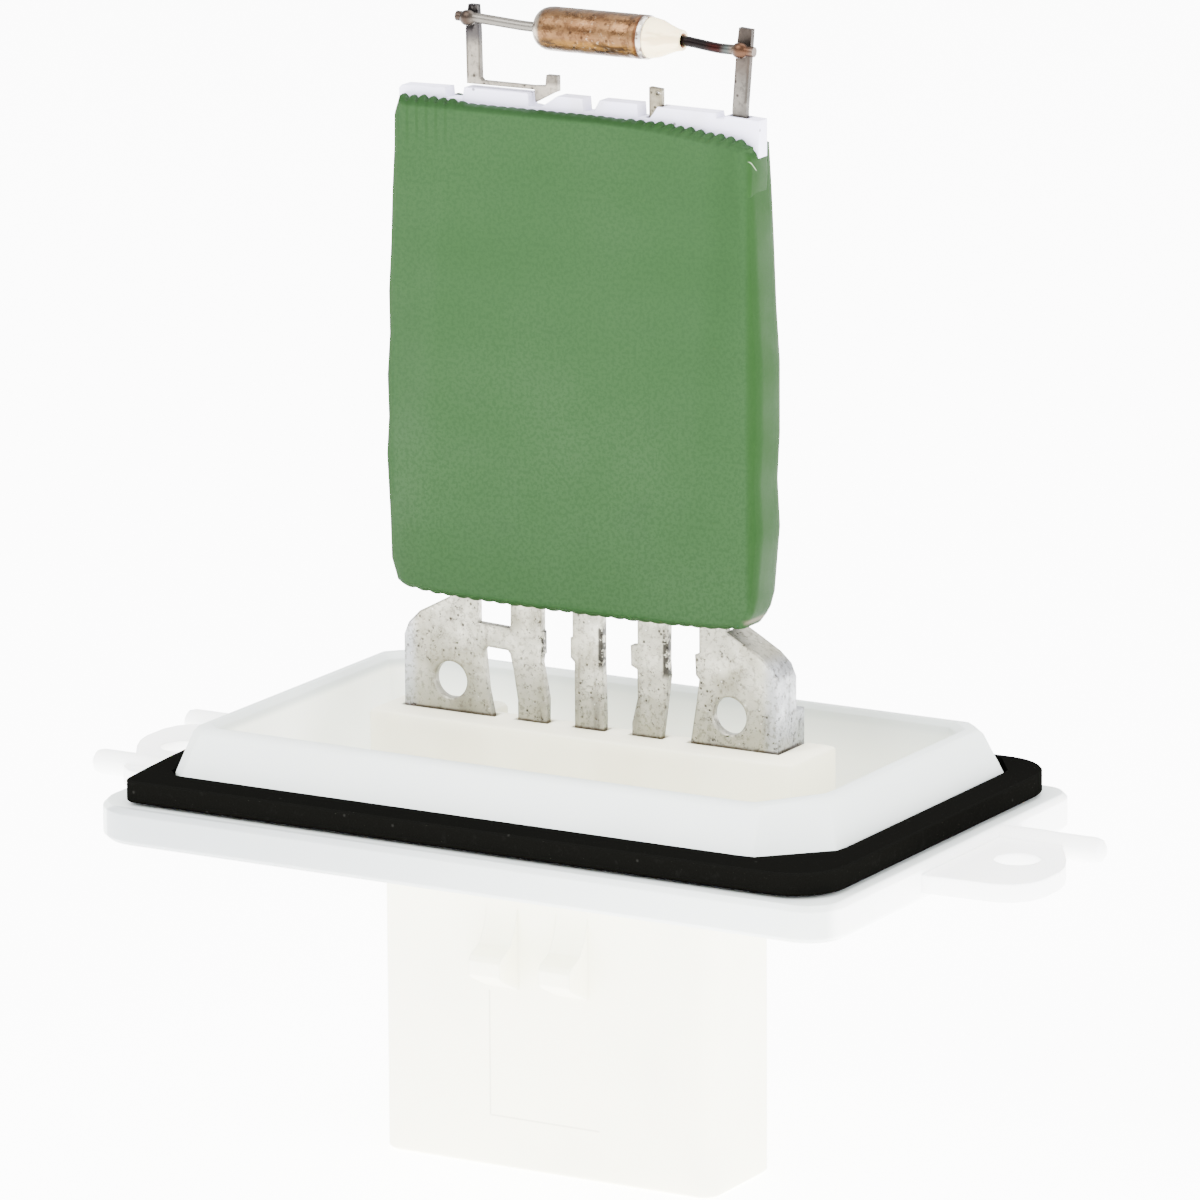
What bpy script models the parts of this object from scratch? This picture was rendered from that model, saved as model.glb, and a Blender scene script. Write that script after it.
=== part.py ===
# Blower motor resistor with a thermal cutoff fuse, standing on the rim of its connector shroud.
# The long side of the flange runs along X, the card faces -Y, and Z is up.
# Sizes are in millimetres from the middle of the card and become metres where a mesh is made.
# There the whole part is also moved so that its origin is the middle of the box it stands in.
import bpy
import bmesh
import math
from mathutils import Vector

MM = 0.001

# clearance left between neighbouring pieces
GAP = 0.3

# flange, the plate that everything grows from
FLANGE_X0 = -38.6
FLANGE_X1 = 38.9
FLANGE_Y0 = -26.2
FLANGE_Y1 = 22.6
FLANGE_T = 3.4
FLANGE_CORNERS = (3.0, 5.0, 5.0, 3.6)
SHROUD_DROP = 31.9
FLANGE_TOP = SHROUD_DROP + FLANGE_T

# raised rim round the trough
RIM_FOOT = (-32.8, 34.1, -20.8, 21.0)
RIM_CREST = (-32.0, 32.0, -18.4, 18.4)
RIM_FOOT_LEGS = ((3.0, 4.4), (2.6, 2.6), (1.6, 1.6), (6.0, 6.2))
RIM_CREST_LEGS = ((2.2, 2.2), (2.2, 2.2), (1.5, 1.5), (4.4, 6.4))
RIM_STRAIGHT = 2.2
RIM_HEIGHT = 6.3
RIM_WALL = 1.5
TROUGH_DEPTH = 1.9

# foam gasket lying round the rim
GASKET_X0 = -35.2
GASKET_X1 = 37.4
GASKET_Y0 = -24.7
GASKET_Y1 = 22.1
GASKET_T = 2.4
GASKET_CORNERS = (5.2, 5.0, 1.2, 5.0)
GASKET_BOW = 1.4

# pedestal in the trough, deeper at its ends than in the middle
PEDESTAL_X0 = -21.6
PEDESTAL_X1 = 23.2
PEDESTAL_FRONT = -3.6
PEDESTAL_MID_BACK = 1.5
PEDESTAL_END_BACK = 5.0
PEDESTAL_END = 10.4
PEDESTAL_TOP = FLANGE_TOP + 6.1

# connector shroud under the flange
SHROUD_X0 = -19.1
SHROUD_X1 = 16.1
SHROUD_Y0 = -6.0
SHROUD_Y1 = 5.8
SHROUD_R = 1.75
SHROUD_WALL = 1.2
SOCKET_DEPTH = 24.0

# latch wedges on the front of the shroud
LATCH_X = (-5.9, 1.5)
LATCH_W = 3.3
LATCH_OUT = 3.4

# mounting ears with their finger and screw hole
EAR_TOP = FLANGE_TOP - 0.9
EAR_T = 1.7
EAR_REACH = 49.2
EAR_HOLE_X = EAR_REACH - 5.3
EAR_HOLE_Y = 0.6
EAR_HOLE_R = 2.15
FINGER_Y = 7.8
FINGER_R = 1.2
FINGER_TIP = 49.1
LOBE_Y = 9.3
LOBE_TIP = 49.8

# middle of the box that the part fills
MIDDLE_X = (EAR_REACH - LOBE_TIP) / 2
MIDDLE_Y = (FLANGE_Y0 + FLANGE_Y1) / 2

# sheet metal terminals
SHEET = 0.8
BLADE_W = 3.0
BLADE_PITCH = 6.05
BLADE_MID = 0.2
BLADE_END = 8.5
POCKET_DEPTH = 2.4
TRAY_BACK = 4.1
WIDE_BACK = 4.7
UPPER_BACK = 3.2
LEFT_EDGE = -19.5
RIGHT_EDGE = 19.9

# resistor card
CARD_X = 38.9
CARD_T = 5.0
CARD_BOTTOM = FLANGE_TOP + 17.1
CARD_TOP = FLANGE_TOP + 63.6
CARD_MID_X = -0.6
TOOTH_PITCH = 1.02
TOOTH = 0.4
CORE_T = 1.6
CORE_X = 37.45
CORE_MID_X = CARD_MID_X + 0.12
CORE_WAIST = 34.6
CORE_HEAD = 2.2
POST_SINK = 3.0
SHELF_DROP = 1.2
CORE_TOP = FLANGE_TOP + 64.8
CORE_BOTTOM = CARD_BOTTOM + 3.9
WINDING_T = 0.4
WINDING_BOTTOM = CARD_BOTTOM + 6.5
WINDING_L = 10.0
WINDING_TOP = CARD_TOP - CORE_HEAD - 2.4
WINDING_PITCH = (WINDING_TOP - WINDING_L - WINDING_BOTTOM) / 2

# thermal fuse and the two posts that hold it
FUSE_Z = FLANGE_TOP + 70.9
FUSE_R = 2.03
FUSE_X0 = -4.5
FUSE_X1 = 6.6
CONE_X1 = 10.4
FUSE_Y = -0.5
LEAD_R = 0.48
POST_W = 1.4
POST_T = 0.6
POST_TOP = FLANGE_TOP + 72.4
TAB_X0 = 6.75
TAB_X1 = 8.0
LEFT_POST_X = -11.6
RIGHT_POST_X = 16.0
RIGHT_POST_LEAN = 0.6
LEAD_Y = -(POST_T / 2 + GAP + LEAD_R)


def clear_scene():
    for item in list(bpy.data.objects):
        bpy.data.objects.remove(item, do_unlink=True)


def material(name, colour, roughness, metallic=0.0):
    made = bpy.data.materials.new(name)
    made.use_nodes = True
    shader = made.node_tree.nodes["Principled BSDF"]
    shader.inputs["Base Color"].default_value = (*colour, 1.0)
    shader.inputs["Roughness"].default_value = roughness
    shader.inputs["Metallic"].default_value = metallic
    return made


clear_scene()
NYLON = material("natural_nylon", (0.86, 0.85, 0.80), 0.45)
FOAM = material("gasket_foam", (0.02, 0.02, 0.02), 0.9)
TIN = material("tinned_strip", (0.42, 0.40, 0.37), 0.45, 1.0)
SILICONE = material("green_silicone", (0.15, 0.30, 0.13), 0.55)
CERAMIC = material("white_ceramic", (0.85, 0.84, 0.80), 0.7)
COPPER = material("fuse_case", (0.55, 0.32, 0.18), 0.3, 1.0)
EPOXY = material("fuse_epoxy", (0.85, 0.80, 0.70), 0.5)
WIRE = material("resistance_wire", (0.45, 0.44, 0.42), 0.4, 1.0)
LEAD = material("lead_wire", (0.55, 0.45, 0.38), 0.35, 1.0)


def link(name, shape, look):
    mesh = bpy.data.meshes.new(name)
    bmesh.ops.recalc_face_normals(shape, faces=shape.faces)
    shape.to_mesh(mesh)
    shape.free()
    item = bpy.data.objects.new(name, mesh)
    bpy.context.scene.collection.objects.link(item)
    if look is not None:
        mesh.materials.append(look)
    return item


def tool(name, shape):
    item = link(name, shape, None)
    item.hide_render = True
    item.display_type = "WIRE"
    return item


def boolean(target, cutter, operation):
    step = target.modifiers.new(cutter.name, "BOOLEAN")
    step.object = cutter
    step.operation = operation
    step.solver = "EXACT"
    return step


def cut(target, cutter):
    return boolean(target, cutter, "DIFFERENCE")


def join(target, other):
    return boolean(target, other, "UNION")


def loft(sections):
    """closed body through rings of equal point count, each a list of (x, y, z) in millimetres"""
    shape = bmesh.new()
    rings = []
    for section in sections:
        rings.append([
            shape.verts.new(((x - MIDDLE_X) * MM, (y - MIDDLE_Y) * MM, z * MM)) for x, y, z in section
        ])
    count = len(rings[0])
    for lower, upper in zip(rings, rings[1:]):
        for i in range(count):
            j = (i + 1) % count
            shape.faces.new((lower[i], lower[j], upper[j], upper[i]))
    shape.faces.new(list(reversed(rings[0])))
    shape.faces.new(rings[-1])
    return shape


def at_height(outline, z):
    return [(x, y, z) for x, y in outline]


def prism(outline, z0, z1):
    return loft([at_height(outline, z0), at_height(outline, z1)])


def panel(outline, y0, y1):
    """prism through Y of an outline given as (x, z)"""
    return loft([[(x, y0, z) for x, z in outline], [(x, y1, z) for x, z in outline]])


def box(x0, x1, y0, y1, z0, z1):
    return prism([(x0, y0), (x1, y0), (x1, y1), (x0, y1)], z0, z1)


def rounded(x0, x1, y0, y1, radii, steps=8):
    """rectangle with round corners, one radius or one for each corner from the +X +Y one round"""
    if not isinstance(radii, tuple):
        radii = (radii,) * 4
    corners = ((x1, y1, -1, -1), (x0, y1, 1, -1), (x0, y0, 1, 1), (x1, y0, -1, 1))
    points = []
    for number, (x, y, sx, sy) in enumerate(corners):
        radius = radii[number]
        for i in range(steps + 1):
            angle = math.radians(90 * number + 90 * i / steps)
            points.append((x + radius * (sx + math.cos(angle)), y + radius * (sy + math.sin(angle))))
    return points


def less_by(radii, edge):
    if not isinstance(radii, tuple):
        return radii - edge
    return tuple(radius - edge for radius in radii)


def plate(x0, x1, y0, y1, z0, z1, radii, edge=0.4, steps=8):
    """rounded plate with a small chamfer round its top and bottom"""
    full = rounded(x0, x1, y0, y1, radii, steps)
    less = rounded(x0 + edge, x1 - edge, y0 + edge, y1 - edge, less_by(radii, edge), steps)
    return loft([
        at_height(less, z0),
        at_height(full, z0 + edge),
        at_height(full, z1 - edge),
        at_height(less, z1),
    ])


def cornered(frame, legs, inset=0.0):
    """rectangle with its corners cut, legs (along x, along y) for each from the +X +Y one round"""
    x0, x1, y0, y1 = frame
    x0 += inset
    x1 -= inset
    y0 += inset
    y1 -= inset
    corners = ((x1, y1, -1, -1), (x0, y1, 1, -1), (x0, y0, 1, 1), (x1, y0, -1, 1))
    points = []
    for number, (x, y, sx, sy) in enumerate(corners):
        lx, ly = legs[number]
        run = [
            (x, y + sy * 1.16 * ly), (x + sx * 0.03 * lx, y + sy * 0.92 * ly),
            (x + sx * 0.92 * lx, y + sy * 0.03 * ly), (x + sx * 1.16 * lx, y),
        ]
        if number % 2:
            run.reverse()
        points.extend(run)
    return points


def between(first, second, part):
    """outline part of the way from one outline to another of equal count"""
    return [tuple(a + (b - a) * part for a, b in zip(p, q)) for p, q in zip(first, second)]


def cylinder(x, y, z0, z1, radius, steps=32):
    ring = []
    for i in range(steps):
        angle = 2 * math.pi * i / steps
        ring.append((x + radius * math.cos(angle), y + radius * math.sin(angle)))
    return prism(ring, z0, z1)


def turned_x(stations, y, z, steps=40):
    """body of revolution about a line along X, from (x, radius) stations"""
    sections = []
    for x, radius in stations:
        ring = []
        for i in range(steps):
            angle = 2 * math.pi * i / steps
            ring.append((x, y + radius * math.cos(angle), z + radius * math.sin(angle)))
        sections.append(ring)
    return loft(sections)


def smooth_path(points, step):
    """points read along a smooth curve through the given ones"""
    ends = [points[0]] + list(points) + [points[-1]]
    out = []
    for a, b, c, d in zip(ends, ends[1:], ends[2:], ends[3:]):
        count = max(2, round(math.dist(b, c) / step))
        for i in range(count):
            t = i / count
            out.append(tuple(
                0.5 * (2 * q + (r - p) * t + (2 * p - 5 * q + 4 * r - s) * t * t
                       + (3 * q - p - 3 * r + s) * t ** 3)
                for p, q, r, s in zip(a, b, c, d)
            ))
    out.append(points[-1])
    return out


def wire_body(points, radius, step=0.45, sides=12):
    """solid round wire along a smooth route, its rings upright across the route"""
    route = [Vector(point) for point in smooth_path(points, step)]
    sections = []
    for i, here in enumerate(route):
        along = (route[min(i + 1, len(route) - 1)] - route[max(i - 1, 0)]).normalized()
        across = along.cross(Vector((0, 0, 1))).normalized()
        rise = across.cross(along)
        ring = []
        for k in range(sides):
            angle = 2 * math.pi * k / sides
            ring.append(tuple(here + radius * (across * math.cos(angle) + rise * math.sin(angle))))
        sections.append(ring)
    return loft(sections)


def lump(centre, half_x, half_y, half_z, steps=16):
    """egg shaped body"""
    x, y, z = centre
    sections = []
    for i in range(1, 10):
        along = math.pi * i / 10
        ring = []
        for k in range(steps):
            angle = 2 * math.pi * k / steps
            ring.append((x - half_x * math.cos(along),
                         y + half_y * math.sin(along) * math.cos(angle),
                         z + half_z * math.sin(along) * math.sin(angle)))
        sections.append(ring)
    return loft(sections)


# base moulding
def rim_body():
    foot_line = cornered(RIM_FOOT, RIM_FOOT_LEGS)
    crest = cornered(RIM_CREST, RIM_CREST_LEGS)
    top = FLANGE_TOP + RIM_HEIGHT
    return loft([
        at_height(foot_line, FLANGE_TOP - 1.0),
        at_height(foot_line, FLANGE_TOP + RIM_STRAIGHT),
        at_height(between(foot_line, crest, 0.88), top - 0.55),
        at_height(cornered(RIM_CREST, RIM_CREST_LEGS, 0.2), top - 0.12),
        at_height(cornered(RIM_CREST, RIM_CREST_LEGS, 0.65), top),
    ])


def trough_body():
    top = FLANGE_TOP + RIM_HEIGHT
    rings = ((-TROUGH_DEPTH, 0.9), (RIM_HEIGHT - 0.5, 0.0), (RIM_HEIGHT - 0.1, -0.35),
             (RIM_HEIGHT + 0.6, -0.9))
    return loft([
        at_height(cornered(RIM_CREST, RIM_CREST_LEGS, RIM_WALL + inset), FLANGE_TOP + z)
        for z, inset in rings
    ])


def pedestal_outline(grow=0.0):
    left = PEDESTAL_X0 - grow
    right = PEDESTAL_X1 + grow
    front = PEDESTAL_FRONT - grow
    mid = PEDESTAL_MID_BACK + grow
    back = PEDESTAL_END_BACK + grow
    inner_left = PEDESTAL_X0 + PEDESTAL_END + grow
    inner_right = PEDESTAL_X1 - PEDESTAL_END - grow
    soft = 0.7
    return [
        (left + soft, front), (right - soft, front),
        (right - 0.2 * soft, front + 0.2 * soft), (right, front + soft),
        (right, back - soft), (right - 0.2 * soft, back - 0.2 * soft),
        (right - soft, back), (inner_right + soft, back),
        (inner_right, back - soft), (inner_right, mid),
        (inner_left, mid), (inner_left, back - soft),
        (inner_left - soft, back), (left + soft, back),
        (left + 0.2 * soft, back - 0.2 * soft), (left, back - soft),
        (left, front + soft), (left + 0.2 * soft, front + 0.2 * soft),
    ]


def latch_body(x):
    face = SHROUD_Y0
    out = face - LATCH_OUT
    profile = [
        (face + 0.8, 25.2), (face, 25.2), (face - 0.6, 23.1), (face - 1.5, 21.7),
        (out + 0.35, 21.0), (out, 20.5), (out, 19.2), (out + 0.35, 18.8),
        (face, 17.3), (face + 0.8, 17.3),
    ]
    low = [(x - LATCH_W / 2, y, z) for y, z in profile]
    high = [(x + LATCH_W / 2, y, z) for y, z in profile]
    return loft([low, high])


def ear_outline():
    """the ear at the +X end; the other ear is this one turned half a turn"""
    root = FLANGE_X1 - 2.2
    tip = EAR_REACH
    return [
        (root, -8.4), (tip - 3.2, -7.9), (tip - 1.6, -7.3), (tip - 0.5, -6.0),
        (tip, -4.3), (tip, -1.4), (tip - 0.4, 0.4), (tip - 1.3, 2.4),
        (tip - 2.6, 4.6), (tip - 3.6, 6.0), (tip - 4.1, 7.2), (tip - 4.3, 9.4),
        (tip - 5.6, 10.6), (tip - 7.8, 11.0), (root, 11.0),
    ]


def turned(outline, side):
    return [(side * x, side * y) for x, y in outline]


def finger_body(side, tip, y):
    """round finger lying along X at an end of the flange"""
    stations = [(side * (FLANGE_X1 - 1.9), FINGER_R), (side * (tip - 1.0), FINGER_R),
                (side * (tip - 0.45), 0.88 * FINGER_R),
                (side * (tip - 0.1), 0.5 * FINGER_R), (side * tip, 0.2)]
    return turned_x(stations, y, FLANGE_TOP - 1.25, 20)


def base_moulding():
    z0 = SHROUD_DROP
    item = link("base_moulding", plate(
        FLANGE_X0, FLANGE_X1, FLANGE_Y0, FLANGE_Y1,
        z0, FLANGE_TOP, FLANGE_CORNERS, 0.45), NYLON)
    join(item, tool("rim_solid", rim_body()))
    cut(item, tool("trough_space", trough_body()))
    floor = FLANGE_TOP - TROUGH_DEPTH - 0.5
    soft = 0.35
    pedestal = loft([
        at_height(pedestal_outline(), floor),
        at_height(pedestal_outline(), PEDESTAL_TOP - soft),
        at_height(pedestal_outline(-soft * 0.3), PEDESTAL_TOP - 0.3 * soft),
        at_height(pedestal_outline(-soft), PEDESTAL_TOP),
    ])
    join(item, tool("pedestal_solid", pedestal))
    shroud = loft([
        at_height(rounded(SHROUD_X0 + 0.25, SHROUD_X1 - 0.25, SHROUD_Y0 + 0.25,
                          SHROUD_Y1 - 0.25, SHROUD_R - 0.25), 0.0),
        at_height(rounded(SHROUD_X0, SHROUD_X1, SHROUD_Y0, SHROUD_Y1, SHROUD_R), 0.25),
        at_height(rounded(SHROUD_X0, SHROUD_X1, SHROUD_Y0, SHROUD_Y1, SHROUD_R), z0 + 1.0),
    ])
    join(item, tool("shroud_solid", shroud))
    for number, x in enumerate(LATCH_X):
        join(item, tool("latch_solid_%d" % (number + 1), latch_body(x)))
    for side, word in ((1, "right"), (-1, "left")):
        outline = turned(ear_outline(), side)
        join(item, tool("ear_solid_" + word, prism(outline, EAR_TOP - EAR_T, EAR_TOP)))
        join(item, tool("finger_solid_" + word, finger_body(side, FINGER_TIP, side * FINGER_Y)))
        hole = cylinder(side * EAR_HOLE_X, side * EAR_HOLE_Y, EAR_TOP - EAR_T - 2,
                        EAR_TOP + 2, EAR_HOLE_R)
        cut(item, tool("ear_hole_" + word, hole))
    join(item, tool("lobe_solid", finger_body(-1, LOBE_TIP, LOBE_Y)))
    socket = loft([
        at_height(rounded(SHROUD_X0 + SHROUD_WALL - 0.3, SHROUD_X1 - SHROUD_WALL + 0.3,
                          SHROUD_Y0 + SHROUD_WALL - 0.3, SHROUD_Y1 - SHROUD_WALL + 0.3, 1.0), -1.0),
        at_height(rounded(SHROUD_X0 + SHROUD_WALL, SHROUD_X1 - SHROUD_WALL,
                          SHROUD_Y0 + SHROUD_WALL, SHROUD_Y1 - SHROUD_WALL, 0.9), 0.4),
        at_height(rounded(SHROUD_X0 + SHROUD_WALL, SHROUD_X1 - SHROUD_WALL,
                          SHROUD_Y0 + SHROUD_WALL, SHROUD_Y1 - SHROUD_WALL, 0.9), SOCKET_DEPTH),
    ])
    cut(item, tool("socket_space", socket))
    for number in range(5):
        x = BLADE_MID + BLADE_PITCH * (number - 2)
        slot = box(x - BLADE_W / 2 - GAP, x + BLADE_W / 2 + GAP, -SHEET / 2 - GAP,
                   SHEET / 2 + GAP, SOCKET_DEPTH - 1.0, PEDESTAL_TOP + 1.0)
        cut(item, tool("blade_slot_%d" % (number + 1), slot))
    low = PEDESTAL_TOP - POCKET_DEPTH
    feet = ((LEFT_EDGE, -10.0, LEFT_EDGE, TRAY_BACK, "left"),
            (10.9, RIGHT_EDGE, RIGHT_EDGE - SHEET, WIDE_BACK, "right"))
    for x0, x1, fold, back, word in feet:
        pocket = box(x0 - GAP, x1 + GAP, -SHEET / 2 - GAP, SHEET / 2 + GAP, low, PEDESTAL_TOP + 1)
        cut(item, tool("sheet_pocket_" + word, pocket))
        side = box(fold - GAP, fold + SHEET + GAP, -SHEET / 2 - GAP, back + GAP,
                   low, PEDESTAL_TOP + 1)
        cut(item, tool("fold_pocket_" + word, side))
    return item


# foam gasket
def gasket_outline(inset=0.0):
    """rounded sheet whose -X side bows outward"""
    x0 = GASKET_X0 + inset
    points = rounded(x0, GASKET_X1 - inset, GASKET_Y0 + inset, GASKET_Y1 - inset,
                     less_by(GASKET_CORNERS, inset))
    low = GASKET_Y0 + GASKET_CORNERS[2]
    high = GASKET_Y1 - GASKET_CORNERS[1]
    side = []
    for i in range(1, 10):
        part = i / 10
        side.append((x0 - GASKET_BOW * 4 * part * (1 - part), high + (low - high) * part))
    half = len(points) // 2
    return points[:half] + side + points[half:]


def flange_gasket():
    z0 = FLANGE_TOP + GAP
    z1 = FLANGE_TOP + GASKET_T
    sheet = loft([
        at_height(gasket_outline(0.15), z0), at_height(gasket_outline(), z0 + 0.15),
        at_height(gasket_outline(), z1 - 0.15), at_height(gasket_outline(0.15), z1),
    ])
    item = link("flange_gasket", sheet, FOAM)
    hole = prism(cornered(RIM_FOOT, RIM_FOOT_LEGS, -GAP), z0 - 1, z1 + 1)
    cut(item, tool("gasket_opening", hole))
    return item


# terminals
def level(height):
    """height above the top face of the flange"""
    return FLANGE_TOP + height


def blade_outline(x, top):
    tip = BLADE_W / 2
    return [
        (x - tip, top), (x - tip, BLADE_END + 1.6), (x - 0.55 * tip, BLADE_END),
        (x + 0.55 * tip, BLADE_END), (x + tip, BLADE_END + 1.6), (x + tip, top),
    ]


def blade_x(number):
    return BLADE_MID + BLADE_PITCH * (number - 2)


def foot():
    """top of the part of a blade that stays inside its slot"""
    return PEDESTAL_TOP - POCKET_DEPTH + GAP


STRIP_TOP = CORE_BOTTOM - GAP


def left_terminal():
    f = foot()
    b1 = blade_x(0)
    b2 = blade_x(1)
    half = BLADE_W / 2
    outline = [
        (LEFT_EDGE, f), (b1 - half, f), (b1 - half, BLADE_END + 1.6), (b1 - 0.55 * half, BLADE_END),
        (b1 + 0.55 * half, BLADE_END), (b1 + half, BLADE_END + 1.6), (b1 + half, f),
        (-10.1, f), (-10.15, level(6.0)), (-10.7, level(8.5)), (-10.9, level(10.4)),
        (-11.05, level(12.2)), (-10.8, level(12.6)),
        (-8.4, level(12.5)), (-8.15, level(12.2)), (-7.8, level(10.7)), (-7.35, level(7.9)),
        (b2 - half, level(6.0)), (b2 - half, BLADE_END + 1.6), (b2 - 0.55 * half, BLADE_END),
        (b2 + 0.55 * half, BLADE_END), (b2 + half, BLADE_END + 1.6), (b2 + half, level(6.0)),
        (-4.3, level(8.3)), (-4.95, level(11.7)), (-4.85, level(12.4)), (-4.7, level(12.5)),
        (-4.7, level(14.6)), (-4.85, level(14.7)), (-4.83, STRIP_TOP),
        (-8.0, STRIP_TOP), (-8.1, level(14.6)), (-11.6, level(14.75)), (-11.65, STRIP_TOP),
        (-14.4, STRIP_TOP), (-14.6, level(16.9)), (-17.8, level(15.2)), (-19.0, level(14.0)),
        (LEFT_EDGE, level(12.8)),
    ]
    item = link("left_terminal", panel(outline, -SHEET / 2, SHEET / 2), TIN)
    fold = [
        (LEFT_EDGE, f), (LEFT_EDGE + SHEET, f), (LEFT_EDGE + SHEET, level(12.7)),
        (-18.4, level(13.5)), (-17.3, level(14.6)), (-14.4, level(16.1)), (-14.6, level(16.9)),
        (-17.8, level(15.2)), (-19.0, level(14.0)), (LEFT_EDGE, level(12.8)),
    ]
    join(item, tool("left_fold", panel(fold, 0.0, TRAY_BACK)))
    notch = box(-21.0, -12.0, 3.0, 6.0, level(9.6), level(20.0))
    cut(item, tool("left_fold_notch", notch))
    hole = turned_y(-14.55, level(9.0), 1.75)
    cut(item, tool("left_terminal_hole", hole))
    return item


def turned_y(x, z, radius, y0=-3.0, y1=3.0, steps=32):
    ring = []
    for i in range(steps):
        angle = 2 * math.pi * i / steps
        ring.append((x + radius * math.cos(angle), z + radius * math.sin(angle)))
    return panel(ring, y0, y1)


def middle_terminal():
    x = blade_x(2)
    half = BLADE_W / 2
    outline = blade_outline(x, level(6.0)) + [
        (1.75, level(7.0)), (1.62, level(12.2)), (1.62, STRIP_TOP), (-1.5, STRIP_TOP),
        (-1.5, level(14.6)), (-1.72, level(14.5)), (-1.72, level(12.6)), (-1.3, level(12.2)),
        (-1.3, level(8.0)),
    ]
    outline[0] = (x - half, level(6.0))
    return link("middle_terminal", panel(outline, -SHEET / 2, SHEET / 2), TIN)


def inner_terminal():
    x = blade_x(3)
    half = BLADE_W / 2
    outline = blade_outline(x, level(6.0)) + [
        (8.1, level(8.6)), (8.55, level(12.0)), (8.45, level(13.4)), (8.55, STRIP_TOP),
        (5.35, STRIP_TOP), (5.35, level(14.6)), (4.62, level(14.5)), (4.66, level(12.6)),
        (5.3, level(12.3)), (5.35, level(9.6)), (x - half, level(7.2)),
    ]
    return link("inner_terminal", panel(outline, -SHEET / 2, SHEET / 2), TIN)


def right_terminal():
    f = foot()
    b = blade_x(4)
    half = BLADE_W / 2
    outline = [
        (10.9, f), (b - half, f), (b - half, BLADE_END + 1.6), (b - 0.55 * half, BLADE_END),
        (b + 0.55 * half, BLADE_END), (b + half, BLADE_END + 1.6), (b + half, f),
        (RIGHT_EDGE, f), (RIGHT_EDGE, level(12.6)), (19.4, level(13.8)), (18.3, level(14.8)),
        (16.4, level(15.9)), (14.6, level(16.9)), (14.3, STRIP_TOP), (11.8, STRIP_TOP),
        (11.8, level(14.6)), (11.35, level(14.4)), (11.45, level(12.5)), (11.8, level(12.1)),
        (11.55, level(10.2)), (10.9, level(6.2)),
    ]
    item = link("right_terminal", panel(outline, -SHEET / 2, SHEET / 2), TIN)
    fold = [
        (RIGHT_EDGE - SHEET, f), (RIGHT_EDGE, f), (RIGHT_EDGE, level(12.6)), (19.4, level(13.8)),
        (18.3, level(14.8)), (16.4, level(15.9)), (14.6, level(16.9)), (14.3, level(16.1)),
        (16.0, level(15.2)), (17.8, level(14.1)), (18.7, level(13.3)),
        (RIGHT_EDGE - SHEET, level(12.4)),
    ]
    join(item, tool("right_fold", panel(fold, 0.0, WIDE_BACK)))
    notch = box(13.0, 22.0, UPPER_BACK, 6.0, level(9.4), level(20.0))
    cut(item, tool("right_fold_notch", notch))
    hole = turned_y(14.95, level(9.05), 1.75)
    cut(item, tool("right_terminal_hole", hole))
    return item


# resistor card
def core_outline():
    left = CORE_MID_X - CORE_X / 2
    right = CORE_MID_X + CORE_X / 2
    shelf = CORE_TOP - SHELF_DROP
    waist = CORE_WAIST / 2
    head = CARD_TOP - CORE_HEAD
    return [
        (CARD_MID_X - waist, CORE_BOTTOM), (CARD_MID_X + waist, CORE_BOTTOM),
        (CARD_MID_X + waist, head - 0.8), (right, head - 0.5), (right, CORE_TOP - 0.5),
        (14.9, CORE_TOP - 0.3), (14.7, CORE_TOP - 0.6), (13.95, CORE_TOP - 0.62),
        (13.85, CORE_TOP - 0.15), (7.9, CORE_TOP - 0.1), (7.1, shelf), (5.9, shelf),
        (5.8, CORE_TOP), (1.9, CORE_TOP), (1.2, shelf), (0.2, shelf), (0.1, CORE_TOP),
        (-2.5, CORE_TOP), (-4.3, shelf), (-5.5, shelf), (-5.6, CORE_TOP), (-12.3, CORE_TOP),
        (-12.5, shelf + 0.1), (-14.2, shelf + 0.1), (-14.3, CORE_TOP - 0.2),
        (left + 0.3, CORE_TOP - 0.3), (left, CORE_TOP - 0.6), (left, head - 0.5),
        (CARD_MID_X - waist, head - 0.8),
    ]


def ceramic_core():
    item = link("ceramic_core", panel(core_outline(), -CORE_T / 2, CORE_T / 2), CERAMIC)
    half_y = POST_T / 2 + GAP
    low = CORE_TOP - POST_SINK - GAP
    for x0, x1, word in ((TAB_X0, TAB_X1, "tab"), (RIGHT_POST_X - POST_W / 2,
                         RIGHT_POST_X + POST_W / 2, "post")):
        pocket = box(x0 - GAP, x1 + GAP, -half_y, half_y, low, CORE_TOP + 2)
        cut(item, tool(word + "_pocket", pocket))
    return item


def winding(name, z0, turns=10):
    """flat sleeve of wire turns round the core"""
    z1 = z0 + WINDING_L
    half_x = CORE_WAIST / 2 + GAP
    half_y = CORE_T / 2 + GAP
    outer = []
    for i in range(4 * turns + 1):
        z = z0 + (z1 - z0) * i / (4 * turns)
        bulge = (0.0, 0.7, 1.0, 0.7)[i % 4] * 0.18
        reach = WINDING_T - 0.18 + bulge
        outer.append(at_height(rounded(
            CARD_MID_X - half_x - reach, CARD_MID_X + half_x + reach,
            -half_y - reach, half_y + reach, reach + 0.2, 2), z))
    body = link(name, loft(outer), WIRE)
    hole = prism(rounded(CARD_MID_X - half_x, CARD_MID_X + half_x, -half_y, half_y, 0.2, 2),
                 z0 - 1, z1 + 1)
    cut(body, tool(name + "_core_space", hole))
    return body


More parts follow.
